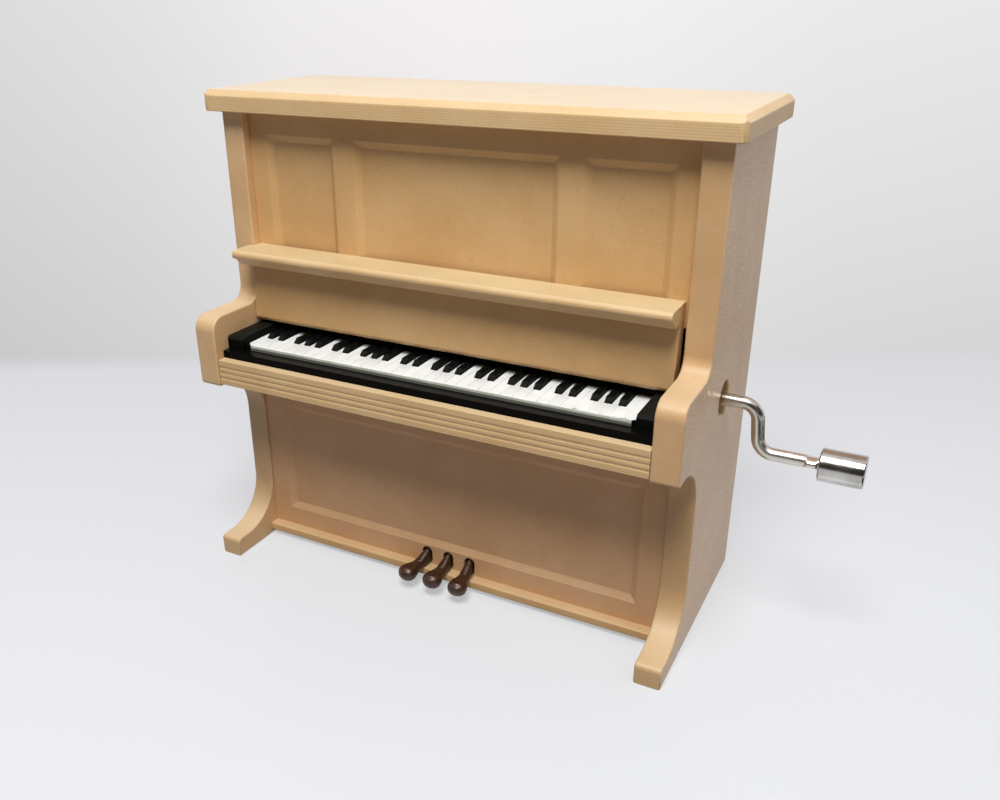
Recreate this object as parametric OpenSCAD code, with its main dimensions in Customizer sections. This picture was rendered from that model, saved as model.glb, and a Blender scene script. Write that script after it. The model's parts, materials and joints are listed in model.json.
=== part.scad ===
// Upright piano music box: a printed case with a model keyboard and pedals,
// and a hand-cranked comb movement behind the panels.
// The case stands on z = 0, its back edge lies at y = 0 and its front faces -Y.

/* [Case] */
// Width over the two end panels
case_w = 100; // [96:0.5:112]
// Thickness of an end panel
panel_t = 5; // [4.2:0.1:6]
// Height of an end panel, under the lid
case_h = 92.7; // [86:0.1:104]
// Depth of the post, from the back edge to its front
post_d = 32.6; // [32:0.1:33.2]
// Depth of the leg below the arm
leg_d = 34.4; // [34.1:0.1:36]
// Depth of the arm and of the foot
arm_d = 47.2; // [46.8:0.1:52]
// Height of the arm's top
arm_top = 54.8; // [54:0.1:56]
// Height of the arm's underside
arm_bottom = 40.4; // [38.6:0.1:41]
// Height of the foot at the toe
foot_h = 4.2; // [3.2:0.1:6]
// Radius of the curve from the post to the arm
shoulder_r = 3.2; // [1.5:0.1:4]
// Radius of the arm's rounded nose
nose_r = 3; // [1:0.1:4]
// Radius of the hollow below the arm
armpit_r = 9.6; // [5:0.1:10]
// Radius of the hollow above the foot
instep_r = 9.6; // [5:0.1:10]
// Depth of the grooves that hold the boards
groove = 1.5; // [0.8:0.1:2.2]
// Clearance of a glued board in its seat
fit = 0.1; // [0.05:0.01:0.2]

/* [Lid] */
// Thickness of the lid
lid_t = 4; // [3:0.1:6]
// Overhang of the lid at each side
lid_side = 2.2; // [0.5:0.1:4]
// Overhang of the lid in front of the posts
lid_front = 2.5; // [0.5:0.1:5]
// Overhang of the lid behind the case
lid_back = 1.3; // [0.5:0.1:3]
// Chamfer round the lid's top
lid_chamfer = 1.1; // [0.4:0.1:1.6]
// Radius of the lid's upright corners
lid_corner = 1.5; // [0.8:0.1:3]
// Depth of the lid's locating tongue
lid_tongue = 1.5; // [1:0.1:3]

/* [Boards] */
// Thickness of the front and back boards
board_t = 3; // [2.4:0.1:3]
// Set-back of the upper front panel behind the post
upper_setback = 2; // [0.8:0.1:2.2]
// Set-back of the lower front panel behind the leg
lower_setback = 0.5; // [0.2:0.1:1.2]
// Height of the bottom board's underside
bottom_z = 0.9; // [0.4:0.1:1.4]
// Thickness of the bottom board
bottom_t = 1.8; // [1.4:0.1:2.4]
// Nosing of the bottom board in front of the lower panel
toe_nosing = 2.2; // [1:0.1:3]
// Depth of the sunk fields
field_depth = 0.9; // [0.4:0.1:1.4]
// Width of the bevel round a sunk field
field_bevel = 1.3; // [0.6:0.1:2]
// Width of the stile between the end panel and the lower field
field_stile = 4.4; // [3:0.1:6]
// Width of the stile between the end panel and an upper field
upper_stile = 3.9; // [3:0.1:6]
// Width of the stile between two upper fields
field_mullion = 4.5; // [3:0.1:7]
// Width of a side field of the upper panel
side_field_w = 15.8; // [12:0.1:20]
// Distance from the lid down to the upper fields
upper_top_rail = 4.4; // [3:0.1:8]
// Distance from the bottom board up to the lower field
lower_bottom_rail = 4.3; // [4:0.1:7]
// Distance from the key bed down to the lower field
lower_top_rail = 8.6; // [5:0.1:12]

/* [Fallboard and shelf] */
// Height of the shelf's top
shelf_z = 66.5; // [65:0.1:70]
// Depth of the shelf in front of the upper panel
shelf_d = 7.8; // [6:0.1:9]
// Height of the shelf's nose
shelf_nose = 1.8; // [0.8:0.1:2.2]
// Length of the shelf's left end that laps the post's front
shelf_lap = 1.1; // [0.3:0.1:2]
// Bevel under the shelf's nose
shelf_bevel = 1.5; // [1:0.1:2.4]
// Thickness of the fallboard at its top
fall_t = 2.7; // [2.2:0.1:3.4]
// Lean of the fallboard, towards its lower edge
fall_lean = 1; // [0:0.1:1.6]
// Height of the fallboard's lower edge
fall_z = 51; // [50.8:0.1:54]
// Gap at the right end of the shelf and fallboard
fall_gap = 0.8; // [0.2:0.1:1]

/* [Keyboard] */
// Height of the key bed's top
bed_z = 46.2; // [45.8:0.1:47]
// Set-back of the key bed behind the arms
bed_setback = 0.3; // [0.1:0.1:1]
// Pitch of the reeds on the key bed's front
reed_pitch = 1.15; // [0.9:0.05:1.2]
// Number of grooves on the key bed's front
reed_count = 3; // [2:1:3]
// Depth of a reed groove
reed_depth = 0.35; // [0.2:0.05:0.6]
// Ledge of the key bed in front of the key slip
ledge = 1.8; // [1:0.1:2.4]
// Width of a keyboard cheek block
cheek_w = 3.9; // [3.5:0.1:6]
// Height of the cheek blocks above the key bed
cheek_h = 4.1; // [3.6:0.1:4.8]
// Set-back of the cheek's upper front from the key slip
cheek_step = 1.7; // [0.8:0.1:2.4]
// Height of the key slip above the key bed
slip_h = 1.5; // [1:0.1:1.5]
// Depth from the key slip's front to the white keys
key_setback = 2.6; // [1.8:0.1:3.2]
// Height of the white keys above the key bed
key_h = 2.6; // [2.2:0.1:3]
// Depth of the keys, to the keyboard's back wall
key_d = 11; // [10:0.1:12]
// Thickness of the keyboard's back wall
key_wall = 1.4; // [1:0.1:2]
// Cut across the keyboard's two front corners
key_corner = 1; // [0.4:0.1:1.6]
// Number of octaves
octaves = 5; // [3:1:5]
// Width of the groove between two white keys
key_groove = 0.14; // [0.1:0.01:0.2]
// Width of a black key
black_w = 1.3; // [1:0.05:1.4]
// Length of the white key's front, before the black keys
white_front = 4.8; // [3:0.1:5]
// Rise of the black keys above the white ones
black_rise = 0.9; // [0.7:0.1:1]

/* [Pedals] */
// Spacing of the pedals
pedal_pitch = 5; // [4.6:0.1:7]
// Width of a pedal slot
slot_w = 2.4; // [2.2:0.1:3]
// Height of a pedal slot
slot_h = 3.9; // [3.6:0.1:4]
// Reach of a pedal in front of the lower panel
pedal_reach = 8; // [7:0.1:9]
// Width of a pedal's rounded toe
pedal_toe = 4; // [3.2:0.1:4.4]
// Angle that the outer pedals fan out by
pedal_fan = 8; // [0:1:9]
// Angle that all the pedals lean to the left by, loose in their slots
pedal_lean = 4; // [0:1:5]
// Width of a pedal's neck
pedal_neck = 1.7; // [1.4:0.1:1.8]

/* [Movement] */
// Height of the crank's axis
crank_z = 46.2; // [45.4:0.1:47]
// Distance of the crank's axis in front of the back edge
crank_back = 20.7; // [20.4:0.1:21]
// Diameter of the crank hole in the end panel
hole_d = 6.8; // [5:0.1:8]
// Diameter of the crank's wire
wire_d = 2.4; // [2:0.1:2.6]
// Throw of the crank
crank_throw = 9; // [8:0.1:13]
// Centre-line radius of the crank's bends
bend_r = 3; // [2.6:0.1:4]
// Angle of each bend
bend_angle = 84; // [70:1:88]
// Straight wire from the end panel to the first bend
crank_neck = 3.4; // [2.5:0.1:6]
// Straight wire from the second bend to the knob
crank_tail = 8; // [6:0.1:12]
// Diameter of the crank's knob
knob_d = 6; // [5.6:0.1:8]
// Length of the crank's knob
knob_l = 7.6; // [6:0.1:12]
// Radial play of a shaft in its bearing
play = 0.06; // [0.03:0.01:0.09]
// Distance of the cylinder's axis from the right end panel
cylinder_inset = 19; // [18.6:0.1:22]
// Diameter of the pinned cylinder
cylinder_d = 13; // [12.4:0.1:13.2]
// Length of the pinned cylinder
cylinder_l = 20.4; // [20:0.1:22]
// Height of a pin above the cylinder
pin_h = 0.5; // [0.3:0.05:0.6]
// Number of comb teeth
teeth = 18; // [12:1:18]
// Pins in each track of the cylinder
pins_per_track = 4; // [2:1:6]
// Thickness of the comb
comb_t = 1.2; // [0.8:0.1:1.4]
// Gap from the pins to the comb's tips
comb_gap = 0.2; // [0.15:0.05:0.4]
// Number of teeth on the cylinder's worm wheel
wheel_teeth = 16; // [16:1:16]
// Distance from the worm's axis to the cylinder's axis
centres = 7.8; // [7.7:0.05:7.9]
// Pitch diameter of the worm
worm_pd = 4.8; // [4.7:0.1:4.9]
// Width of the worm wheel's rim
wheel_t = 2; // [1.6:0.1:2.2]
// Thickness of the bedplate
bed_t = 2.5; // [2:0.1:2.7]
// Length of the bedplate
bed_l = 50; // [48:0.5:54]
// Height of the bedplate
bed_w = 38; // [37:0.5:40]

/* [Hidden] */
$fn = 96;
eps = 0.02;

// Case, seen from its inner faces
inner_x = case_w/2 - panel_t;
board_x = inner_x + groove - fit;
back_face = -board_t;
upper_y = -post_d + upper_setback;
lower_y = -leg_d + lower_setback;
bottom_top = bottom_z + bottom_t;
bed_front = -arm_d + bed_setback;
bed_bottom = arm_bottom + 0.6;
shelf_t = shelf_nose + shelf_bevel;
fall_top = shelf_z - shelf_t;
fall_front = upper_y - fall_t;
fall_x0 = -inner_x + fit;
fall_x1 = inner_x - fall_gap;
upper_bottom = fall_top - 1.5;
nosing_front = lower_y - toe_nosing;
tongue_front = upper_y + board_t + 2*fit;

// Keyboard
slip_front = bed_front + ledge;
base_x = inner_x - fit;
keys_x = base_x - cheek_w;
key_front = slip_front + key_setback;
key_back = key_front + key_d;
bed_back = key_back + fit + key_wall;
wall_front = key_back + fit;
wall_top = fall_z + 0.8;
key_floor = bed_z + 0.7;
key_top = bed_z + key_h;
whites = 7*octaves + 1;
key_pitch = 2*(keys_x - fit)/whites;
black_offsets = [0.92, 2.08, 3.88, 5, 6.12];

// Movement, set on the inside of the back panel
crank_y = -crank_back;
cyl_x = inner_x - cylinder_inset;
cyl_y = crank_y + centres;
bed_face = back_face - bed_t;
wheel_pd = 2*centres - worm_pd;
worm_pitch = PI*wheel_pd/wheel_teeth;
worm_root_r = worm_pd/2 - 0.7;
worm_tip_r = worm_pd/2 + 0.6;
wheel_tip_r = wheel_pd/2 + 0.5;
wheel_root_r = wheel_pd/2 - 0.85;
cyl_top = crank_z - wheel_t/2 - 2.2;
cyl_bottom = cyl_top - cylinder_l;
arbor_r = 1;
lug_t = 2.6;
lug_gap = 0.4;
lug_low = cyl_bottom - 1 - lug_gap;
lug_high = crank_z + wheel_t/2 + 1.4 + lug_gap;
cheek_t = 1.5;
bearing_reach = 8.2;
bearing_half = 2.7;
foot_l = 5.6;
comb_y = cyl_y - comb_t/2;
comb_tip_x = cyl_x - cylinder_d/2 - pin_h - comb_gap;
tooth_pitch = (cylinder_l - 1.6)/teeth;
comb_z = cyl_bottom + 0.8;
comb_h = teeth*tooth_pitch;
tooth_long = 14;
tooth_short = 9;
comb_plate = 11;
comb_back_x = comb_tip_x - tooth_long - comb_plate;
bed_right = cyl_x + bearing_reach + cheek_t + foot_l + 0.5;
bed_left = bed_right - bed_l;
bed_low = (lug_low - lug_t + lug_high + lug_t)/2 - bed_w/2;
screw_r = 1.3;
head_r = 2.3;
head_h = 1.4;
screw_in = 4;
boss_sites = [
    [bed_left + screw_in, bed_low + screw_in],
    [bed_left + screw_in, bed_low + bed_w - screw_in],
    [bed_right - screw_in, bed_low + screw_in]
];
comb_screw_x = comb_back_x + 5;
comb_screw_z = [comb_z + 4, comb_z + comb_h - 4];

// Crank wire, bent into an S below its axis at rest
bend_drop = bend_r*(1 - cos(bend_angle));
slant_l = (crank_throw - 2*bend_drop)/sin(bend_angle);
bend_x = case_w/2 + crank_neck;
slant_x = slant_l*cos(bend_angle);
tail_x = bend_x + 2*bend_r*sin(bend_angle) + slant_x;
knob_x = tail_x + crank_tail;
knob_z = crank_z - crank_throw;
crank_end_x = cyl_x - bearing_reach - cheek_t - 1.2;
crank_rivet_l = knob_l - 0.8;
knob_bore_r = wire_d/2 + play;

// The origin is on the floor under the middle of everything, crank included
origin_x = (knob_x + knob_l - case_w/2 - lid_side)/2;
origin_y = (lid_back - arm_d)/2;

// Printed and metal colours
wood = "#c9a878";
black = "#16171a";
white = "#f1f2ee";
bronze = "#4a2c1a";
zinc = "#a9abac";
steel = "#c3c6c8";
brass = "#c8a24a";

module placed() {
    translate([-origin_x, -origin_y, 0]) children();
}

// A profile drawn in depth and height, carried along the width
module along_x(x0, x1) {
    translate([x0, 0, 0]) rotate([90, 0, 90]) linear_extrude(x1 - x0) children();
}

module block(low, high) {
    translate(low) cube([high[0] - low[0], high[1] - low[1], high[2] - low[2]]);
}

module rod_x(x0, x1, r) {
    translate([x0, 0, 0]) rotate([0, 90, 0]) cylinder(r = r, h = x1 - x0);
}

module rod_y(y0, y1, r) {
    translate([0, y0, 0]) rotate([-90, 0, 0]) cylinder(r = r, h = y1 - y0);
}

// What is left of a square corner once a circle of radius r is taken from it
module corner_web(r) {
    difference() {
        translate([-eps, -eps]) square(r + eps);
        translate([r, r]) circle(r);
    }
}

// End panel profile: post, arm, leg and foot, with their hollows
module end_profile() {
    toe_r = 1;
    underarm_r = 0.8;
    difference() {
        union() {
            translate([-post_d, 0]) square([post_d, case_h]);
            translate([-leg_d, 0]) square([leg_d, arm_top]);
            translate([-arm_d, arm_bottom]) square([arm_d, arm_top - arm_bottom]);
            translate([-arm_d, 0]) square([arm_d, foot_h]);
            translate([-post_d, arm_top]) mirror([1, 0]) corner_web(shoulder_r);
            translate([-leg_d, arm_bottom]) mirror([1, 0]) mirror([0, 1]) corner_web(armpit_r);
            translate([-leg_d, foot_h]) mirror([1, 0]) corner_web(instep_r);
        }
        translate([-arm_d, arm_top]) mirror([0, 1]) corner_web(nose_r);
        translate([-arm_d, arm_bottom]) corner_web(underarm_r);
        translate([-arm_d, foot_h]) mirror([0, 1]) corner_web(toe_r);
    }
}

// Right end panel: grooves inside for the boards
module end_panel() {
    gx = inner_x + groove;
    in_x = inner_x - 1;
    difference() {
        along_x(inner_x, case_w/2) end_profile();
        block([in_x, upper_y - fit, upper_bottom - fit], [gx, upper_y + board_t + fit, case_h + 1]);
        block([in_x, lower_y - fit, bottom_top - fit], [gx, lower_y + board_t + fit, bed_bottom + fit]);
        block([in_x, nosing_front - fit, bottom_z - fit], [gx, 1, bottom_top + fit]);
        block([in_x, back_face - fit, bottom_top - fit], [gx, 1, case_h + 1]);
    }
}

module right_end_panel() color(wood) {
    difference() {
        end_panel();
        translate([0, crank_y, crank_z]) rod_x(inner_x - 1, case_w/2 + 1, hole_d/2);
    }
}

module left_end_panel() color(wood) {
    mirror([1, 0, 0]) end_panel();
}

// Lid: chamfered all round its top, with a tongue that drops into the case
module top_lid() color(wood) {
    x = case_w/2 + lid_side;
    front = -post_d - lid_front;
    top = case_h + lid_t;
    chamfer_z = top - lid_chamfer;
    intersection() {
        along_x(-x, x) polygon([
            [front, case_h], [front, chamfer_z], [front + lid_chamfer, top],
            [lid_back - lid_chamfer, top], [lid_back, chamfer_z], [lid_back, case_h]
        ]);
        translate([0, lid_back, 0]) rotate([90, 0, 0]) linear_extrude(lid_back - front) polygon([
            [-x, case_h], [-x, chamfer_z], [-x + lid_chamfer, top],
            [x - lid_chamfer, top], [x, chamfer_z], [x, case_h]
        ]);
        translate([0, 0, case_h]) linear_extrude(lid_t) difference() {
            translate([-x, front]) square([2*x, lid_back - front]);
            for (side = [0, 1]) mirror([side, 0]) {
                translate([-x, front]) corner_web(lid_corner);
                translate([-x, lid_back]) mirror([0, 1]) corner_web(lid_corner);
            }
        }
    }
    block([-inner_x + 2*fit, tongue_front, case_h - lid_tongue],
          [inner_x - 2*fit, back_face - 2*fit, case_h + eps]);
}

// A sunk field with a bevel all round, cut into the front of a board
module field(x0, x1, z0, z1, y) {
    deep = y + field_depth;
    b = field_bevel;
    over = 0.5;
    o = over*b/field_depth;
    intersection() {
        along_x(x0 - o, x1 + o) polygon([
            [y - over, z0 - o], [deep, z0 + b], [deep, z1 - b], [y - over, z1 + o]
        ]);
        translate([0, 0, z0 - o]) linear_extrude(z1 - z0 + 2*o) polygon([
            [x0 - o, y - over], [x0 + b, deep], [x1 - b, deep], [x1 + o, y - over]
        ]);
    }
}

module upper_front_panel() color(wood) {
    x_out = inner_x - upper_stile;
    x_in = x_out - side_field_w;
    x_mid = x_in - field_mullion;
    z0 = fall_top + 0.4;
    z1 = case_h - upper_top_rail;
    difference() {
        block([-board_x, upper_y, upper_bottom], [board_x, upper_y + board_t, case_h]);
        field(-x_out, -x_in, z0, z1, upper_y);
        field(-x_mid, x_mid, z0, z1, upper_y);
        field(x_in, x_out, z0, z1, upper_y);
    }
}

// Music shelf: rounded nose, bevelled underneath, standing proud of the posts
module shelf_section() {
    front = upper_y - shelf_d;
    r = shelf_nose/2;
    translate([front + r, shelf_z - shelf_nose]) square([shelf_d - r, shelf_nose]);
    translate([front + r, shelf_z - r]) circle(r);
    polygon([
        [front + r, shelf_z - shelf_nose], [front + r + shelf_bevel, fall_top],
        [upper_y, fall_top], [upper_y, shelf_z - shelf_nose]
    ]);
}

// The shelf stands between the posts, and its left end is notched round the left one
module music_shelf() color(wood) {
    along_x(fall_x0, fall_x1) shelf_section();
    along_x(fall_x0 - shelf_lap, fall_x0 + eps) intersection() {
        shelf_section();
        translate([-post_d - fit - shelf_d, fall_top]) square([shelf_d, shelf_t]);
    }
}

// Fallboard: leans forward, and is cut out behind to stand on the tray's back wall
module fallboard() color(wood) {
    r = 1.1;
    edge = fall_front - fall_lean;
    along_x(fall_x0, fall_x1) difference() {
        polygon([
            [upper_y, fall_z], [upper_y, fall_top], [fall_front, fall_top], [edge, fall_z + r], [edge, fall_z]
        ]);
        translate([edge, fall_z]) corner_web(r);
        translate([wall_front, fall_z - 1]) square([10, wall_top - fall_z + 1]);
    }
}

// Black keyboard tray: floor, back wall, key slip and two stepped cheek blocks
module keyboard_base() color(black) {
    slip_top = bed_z + slip_h;
    slope = 0.5;
    difference() {
        union() {
            block([-base_x, slip_front, bed_z], [base_x, bed_back, slip_top]);
            block([-base_x, wall_front, bed_z], [base_x, bed_back, wall_top]);
        }
        translate([0, 0, key_floor]) linear_extrude(slip_top)
            key_plan(keys_x, key_front - fit, key_back + fit);
    }
    for (side = [0, 1]) mirror([side, 0, 0]) translate([keys_x, key_front - fit, bed_z])
        linear_extrude(key_h) polygon([[eps, -eps], [eps, key_corner], [-key_corner, -eps]]);
    for (side = [0, 1]) mirror([side, 0, 0]) along_x(keys_x, base_x) polygon([
        [slip_front, bed_z], [slip_front, slip_top - slope], [slip_front + slope, slip_top],
        [slip_front + cheek_step, slip_top], [slip_front + cheek_step, bed_z + cheek_h - slope],
        [slip_front + cheek_step + slope, bed_z + cheek_h], [bed_back, bed_z + cheek_h], [bed_back, bed_z]
    ]);
}

// Plan of the keys, with their front corners cut
module key_plan(x, front, back) {
    polygon([
        [-x, back], [-x, front + key_corner], [-x + key_corner, front],
        [x - key_corner, front], [x, front + key_corner], [x, back]
    ]);
}

// Middles of the black keys, counted in white keys
function black_places() = [for (o = [0:octaves - 1]) for (b = black_offsets) 7*o + b];

module black_footprint(x, w, front) {
    translate([x - w/2, front, key_floor - 1]) cube([w, key_back + 1 - front, key_h + 3]);
}

// White keys: one plate, grooved between the keys and notched for the black ones
module white_keys() color(white) {
    x0 = -keys_x + fit;
    lip_r = 0.25;
    difference() {
        translate([0, 0, key_floor]) linear_extrude(key_top - key_floor) key_plan(-x0, key_front, key_back);
        along_x(x0 - 1, 1 - x0) translate([key_front, key_top]) mirror([0, 1]) corner_web(lip_r);
        for (i = [1:whites - 1])
            translate([x0 + i*key_pitch - key_groove/2, key_front - 1, key_top - key_groove])
                cube([key_groove, key_d + 2, 1]);
        for (b = black_places())
            black_footprint(x0 + b*key_pitch, black_w + 2*fit, key_front + white_front - fit);
    }
}

// Black keys: separate blocks with raked fronts, standing in the notches
module black_keys() color(black) {
    front = key_front + white_front;
    rake = 0.9;
    for (b = black_places()) {
        x = -keys_x + fit + b*key_pitch;
        along_x(x - black_w/2, x + black_w/2) polygon([
            [front, key_floor], [front, key_top + 0.2], [front + rake, key_top + black_rise],
            [key_back, key_top + black_rise], [key_back, key_floor]
        ]);
    }
}

// Key bed with a reeded front, between the arms
module key_bed() color(wood) {
    groove_z = bed_z - 1.5;
    x = inner_x - fit;
    difference() {
        block([-x, bed_front, bed_bottom], [x, bed_back, bed_z]);
        for (i = [0:reed_count - 1])
            along_x(-x - 1, x + 1) polygon([
                [bed_front - eps, groove_z - i*reed_pitch + reed_depth],
                [bed_front + reed_depth, groove_z - i*reed_pitch],
                [bed_front - eps, groove_z - i*reed_pitch - reed_depth]
            ]);
    }
}

function pedal_x(i) = (i - 1)*pedal_pitch;

// Lower panel: one sunk field, and arched slots for the pedals
module lower_front_panel() color(wood) {
    x = inner_x - field_stile;
    r = slot_w/2;
    difference() {
        block([-board_x, lower_y, bottom_top], [board_x, lower_y + board_t, bed_bottom]);
        field(-x, x, bottom_top + lower_bottom_rail, bed_bottom - lower_top_rail, lower_y);
        for (i = [0:2]) translate([pedal_x(i), 0, bottom_top]) {
            block([-r, lower_y - 1, -1], [r, lower_y + board_t + 1, slot_h - r]);
            translate([0, 0, slot_h - r]) rod_y(lower_y - 1, lower_y + board_t + 1, r);
        }
    }
}

// Bottom board: its front edge shows as a toe rail under the lower panel
module bottom_board() color(wood) {
    block([-board_x, nosing_front, bottom_z], [board_x, -fit, bottom_top]);
}

// Pedal: a block behind the panel, a neck through the slot and a rounded toe
module pedal(i) color(bronze) {
    neck_r = pedal_neck/2;
    toe_r = pedal_toe/2;
    heel_y = lower_y + board_t;
    toe_y = lower_y - pedal_reach + toe_r;
    toe_z = bottom_top + 0.6;
    knee_z = bottom_top + slot_h - neck_r - 0.4;
    translate([pedal_x(i), 0, 0]) {
        block([-1.6, heel_y + fit, bottom_top], [1.6, heel_y + 3.2, bottom_top + slot_h]);
        block([-neck_r, lower_y - 0.2, bottom_top + 0.2], [neck_r, heel_y + 1, knee_z]);
        rotate_about(lower_y, (i - 1)*pedal_fan - pedal_lean) {
            hull() {
                translate([0, lower_y + 1, knee_z]) sphere(neck_r, $fn = 20);
                translate([0, lower_y + 1, bottom_top + 0.2 + neck_r]) sphere(neck_r, $fn = 20);
                translate([0, lower_y - 1.2, bottom_top + 1.7]) sphere(neck_r, $fn = 20);
            }
            hull() {
                translate([0, lower_y - 1.2, bottom_top + 1.7]) sphere(neck_r, $fn = 20);
                translate([0, toe_y + 1.9, toe_z + 0.7]) sphere(neck_r + 0.15, $fn = 20);
            }
            hull() {
                translate([0, toe_y + 1.9, toe_z + 0.7]) sphere(neck_r + 0.15, $fn = 20);
                translate([0, toe_y, toe_z]) scale([1, 1, 0.8]) sphere(toe_r, $fn = 28);
            }
        }
    }
}

module rotate_about(y, angle) {
    translate([0, y, 0]) rotate([0, 0, angle]) translate([0, -y, 0]) children();
}

module left_pedal() pedal(0);
module middle_pedal() pedal(1);
module right_pedal() pedal(2);

// Back panel in its rebate, with countersunk holes for the movement's screws
module back_panel() color(wood) {
    difference() {
        block([-board_x, back_face, bottom_top], [board_x, 0, case_h]);
        for (s = boss_sites) translate([s[0], 0, s[1]]) {
            rod_y(back_face - 1, 1, screw_r + fit);
            countersink(fit);
        }
    }
}

module countersink(extra) {
    rotate([90, 0, 0]) cylinder(r1 = head_r + extra, r2 = screw_r + extra, h = head_h);
    rod_y(-eps, extra + eps, head_r + extra);
}

module movement_screws() color(steel) {
    slot = 0.6;
    for (s = boss_sites) translate([s[0], 0, s[1]]) difference() {
        union() {
            rotate([90, 0, 0]) cylinder(r1 = head_r, r2 = screw_r, h = head_h);
            rod_y(back_face - bed_t, -head_h + eps, screw_r);
        }
        translate([-head_r, -slot, -slot/2]) cube([2*head_r, 2*slot, slot]);
        translate([-slot/2, -slot, -head_r]) cube([slot, 2*slot, 2*head_r]);
    }
}

// Bearing lug for the cylinder's arbor, cast on the bedplate
module lug(z) {
    half = 3.4;
    difference() {
        union() {
            block([cyl_x - half, cyl_y, z], [cyl_x + half, bed_face + eps, z + lug_t]);
            translate([cyl_x, cyl_y, z]) cylinder(r = half, h = lug_t);
        }
        translate([cyl_x, cyl_y, z - 1]) cylinder(r = arbor_r + play, h = lug_t + 2);
    }
}

// Die-cast bedplate: mounting holes, comb pedestal and two arbor lugs
module bedplate() color(zinc) {
    corner = 3;
    difference() {
        union() {
            translate([0, back_face, 0]) rotate([90, 0, 0]) linear_extrude(bed_t) difference() {
                translate([bed_left, bed_low]) square([bed_l, bed_w]);
                translate([bed_left, bed_low]) corner_web(corner);
                translate([bed_right, bed_low]) mirror([1, 0]) corner_web(corner);
                translate([bed_left, bed_low + bed_w]) mirror([0, 1]) corner_web(corner);
                translate([bed_right, bed_low + bed_w]) mirror([1, 0]) mirror([0, 1]) corner_web(corner);
            }
            block([comb_back_x, comb_y + comb_t, comb_z],
                  [comb_back_x + comb_plate - 1, bed_face + eps, comb_z + comb_h]);
            lug(lug_low - lug_t);
            lug(lug_high);
        }
        for (s = boss_sites) translate([s[0], 0, s[1]]) rod_y(bed_face - 1, 0, screw_r);
        for (z = comb_screw_z) translate([comb_screw_x, 0, z]) rod_y(comb_y, bed_face, screw_r);
        for (x = bearing_screw_x()) translate([x, 0, crank_z]) rod_y(bed_face - 1, 0, screw_r);
    }
}

// Steel comb: teeth grow shorter from the low notes to the high ones
module comb() color(steel) {
    slit = 0.3;
    translate([0, comb_y + comb_t, 0]) rotate([90, 0, 0]) linear_extrude(comb_t) difference() {
        union() {
            translate([comb_back_x, comb_z]) square([comb_plate, comb_h]);
            for (i = [0:teeth - 1]) {
                l = tooth_long + 0.1;
                translate([comb_tip_x - l, comb_z + i*tooth_pitch + slit/2]) square([l, tooth_pitch - slit]);
            }
            polygon([
                [comb_tip_x - tooth_long - 0.1, comb_z], [comb_tip_x - tooth_long, comb_z],
                [comb_tip_x - tooth_short, comb_z + comb_h], [comb_tip_x - tooth_long - 0.1, comb_z + comb_h]
            ]);
        }
        for (z = comb_screw_z) translate([comb_screw_x, z]) circle(screw_r + fit);
    }
}

// A pan-head screw with a slot, driven towards +Y
module pan_screw(face, length) {
    head = 1.1;
    slot = 0.6;
    difference() {
        union() {
            rod_y(face - head, face, head_r);
            rod_y(face - eps, face + length, screw_r);
        }
        translate([-head_r - 1, face - head - 1, -slot/2]) cube([2*head_r + 2, 1 + slot, slot]);
    }
}

module comb_screws() color(steel) {
    for (z = comb_screw_z) translate([comb_screw_x, 0, z]) pan_screw(comb_y, comb_t + 3*screw_r);
}

// Brass cylinder with its pins, one track for each tooth
module pinned_cylinder() color(brass) {
    r = cylinder_d/2;
    pin_r = 0.2;
    step = 137.5;
    translate([cyl_x, cyl_y, 0]) difference() {
        union() {
            translate([0, 0, cyl_bottom]) cylinder(r = r, h = cylinder_l);
            for (i = [0:teeth - 1]) for (k = [0:pins_per_track - 1])
                rotate([0, 0, step*(i*pins_per_track + k) + 7*i])
                    translate([r - 0.5, 0, comb_z + (i + 0.5)*tooth_pitch])
                        rotate([0, 90, 0]) cylinder(r = pin_r, h = pin_h + 0.5, $fn = 16);
        }
        translate([0, 0, cyl_bottom - 1]) cylinder(r = arbor_r, h = cylinder_l + 2);
    }
}

module cylinder_arbor() color(steel) {
    z0 = lug_low - lug_t;
    z1 = lug_high + lug_t;
    translate([cyl_x, cyl_y, z0]) cylinder(r = arbor_r, h = z1 - z0);
}

// Worm wheel: straight teeth with a gap for the worm's thread facing it at rest
module worm_wheel() color(brass) {
    root_half = 0.62;
    tip_half = 0.24;
    hub_l = crank_z - wheel_t/2 - cyl_top;
    translate([cyl_x, cyl_y, crank_z - wheel_t/2]) difference() {
        union() {
            linear_extrude(wheel_t) {
                circle(wheel_root_r);
                for (i = [0:wheel_teeth - 1]) rotate(-90 + (i + 0.5)*360/wheel_teeth) polygon([
                    [wheel_root_r - 0.3, -root_half], [wheel_tip_r, -tip_half],
                    [wheel_tip_r, tip_half], [wheel_root_r - 0.3, root_half]
                ]);
            }
            translate([0, 0, -hub_l]) cylinder(r = 2.2, h = hub_l + eps);
            translate([0, 0, wheel_t - eps]) cylinder(r = 2.2, h = 1.4);
        }
        translate([0, 0, -5]) cylinder(r = arbor_r, h = wheel_t + 10);
    }
}

function bearing_screw_x() = [
    cyl_x - bearing_reach - cheek_t - foot_l + 2.6,
    cyl_x + bearing_reach + cheek_t + foot_l - 2.6
];

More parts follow.
